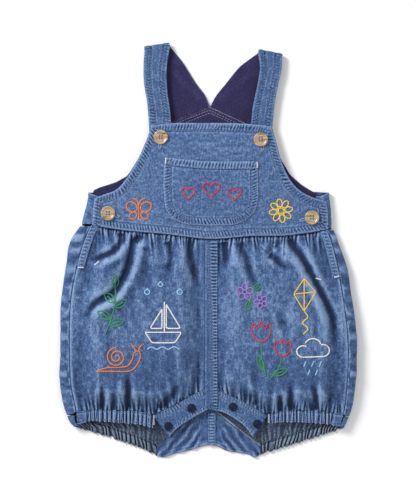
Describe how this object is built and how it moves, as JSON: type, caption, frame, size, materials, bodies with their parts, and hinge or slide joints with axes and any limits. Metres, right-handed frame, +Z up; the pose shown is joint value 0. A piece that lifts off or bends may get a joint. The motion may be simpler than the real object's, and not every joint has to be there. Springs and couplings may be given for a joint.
{
  "type": "baby overalls laid flat",
  "caption": "Sleeveless bubble overalls for a baby in washed denim, laid flat: buttoned bib and straps, patch pocket, gathered legs with elastic hems and a snapped crotch.",
  "frame": {"origin": "middle of the garment's outline, on the surface it lies on", "axes": "+Y towards the straps, +X to the viewer's right as the garment lies face up, +Z up"},
  "size_m": [0.3126, 0.4364, 0.0232],
  "materials": {
    "denim": "washed blue cotton denim, pale raised seams",
    "navy_twill": "navy cotton twill lining",
    "button_resin": "marbled cream and tan resin",
    "snap_cap": "navy lacquered cap"
  },
  "bodies": {
    "root": {"back_bodice": "denim", "back_leg_left": "denim", "back_leg_right": "denim", "back_hem_left": "denim", "back_hem_right": "denim", "back_crotch_placket": "denim", "centre_back_seam": "denim", "front_leg_left": "denim", "front_leg_right": "denim", "front_hem_left": "denim", "front_hem_right": "denim", "front_crotch_placket_left": "denim", "front_crotch_placket_right": "denim", "centre_front_seam": "denim", "side_placket_left": "denim", "side_placket_right": "denim", "bib_front": "denim", "bib_pocket": "denim", "strap_left": "denim", "strap_right": "denim", "back_bodice_lining": "navy_twill", "strap_left_lining": "navy_twill", "strap_right_lining": "navy_twill", "button_bib_left": "button_resin", "button_bib_right": "button_resin", "button_side_left": "button_resin", "button_side_right": "button_resin", "snap_1": "snap_cap", "snap_2": "snap_cap", "snap_3": "snap_cap", "snap_4": "snap_cap"}
  },
  "joints": []
}
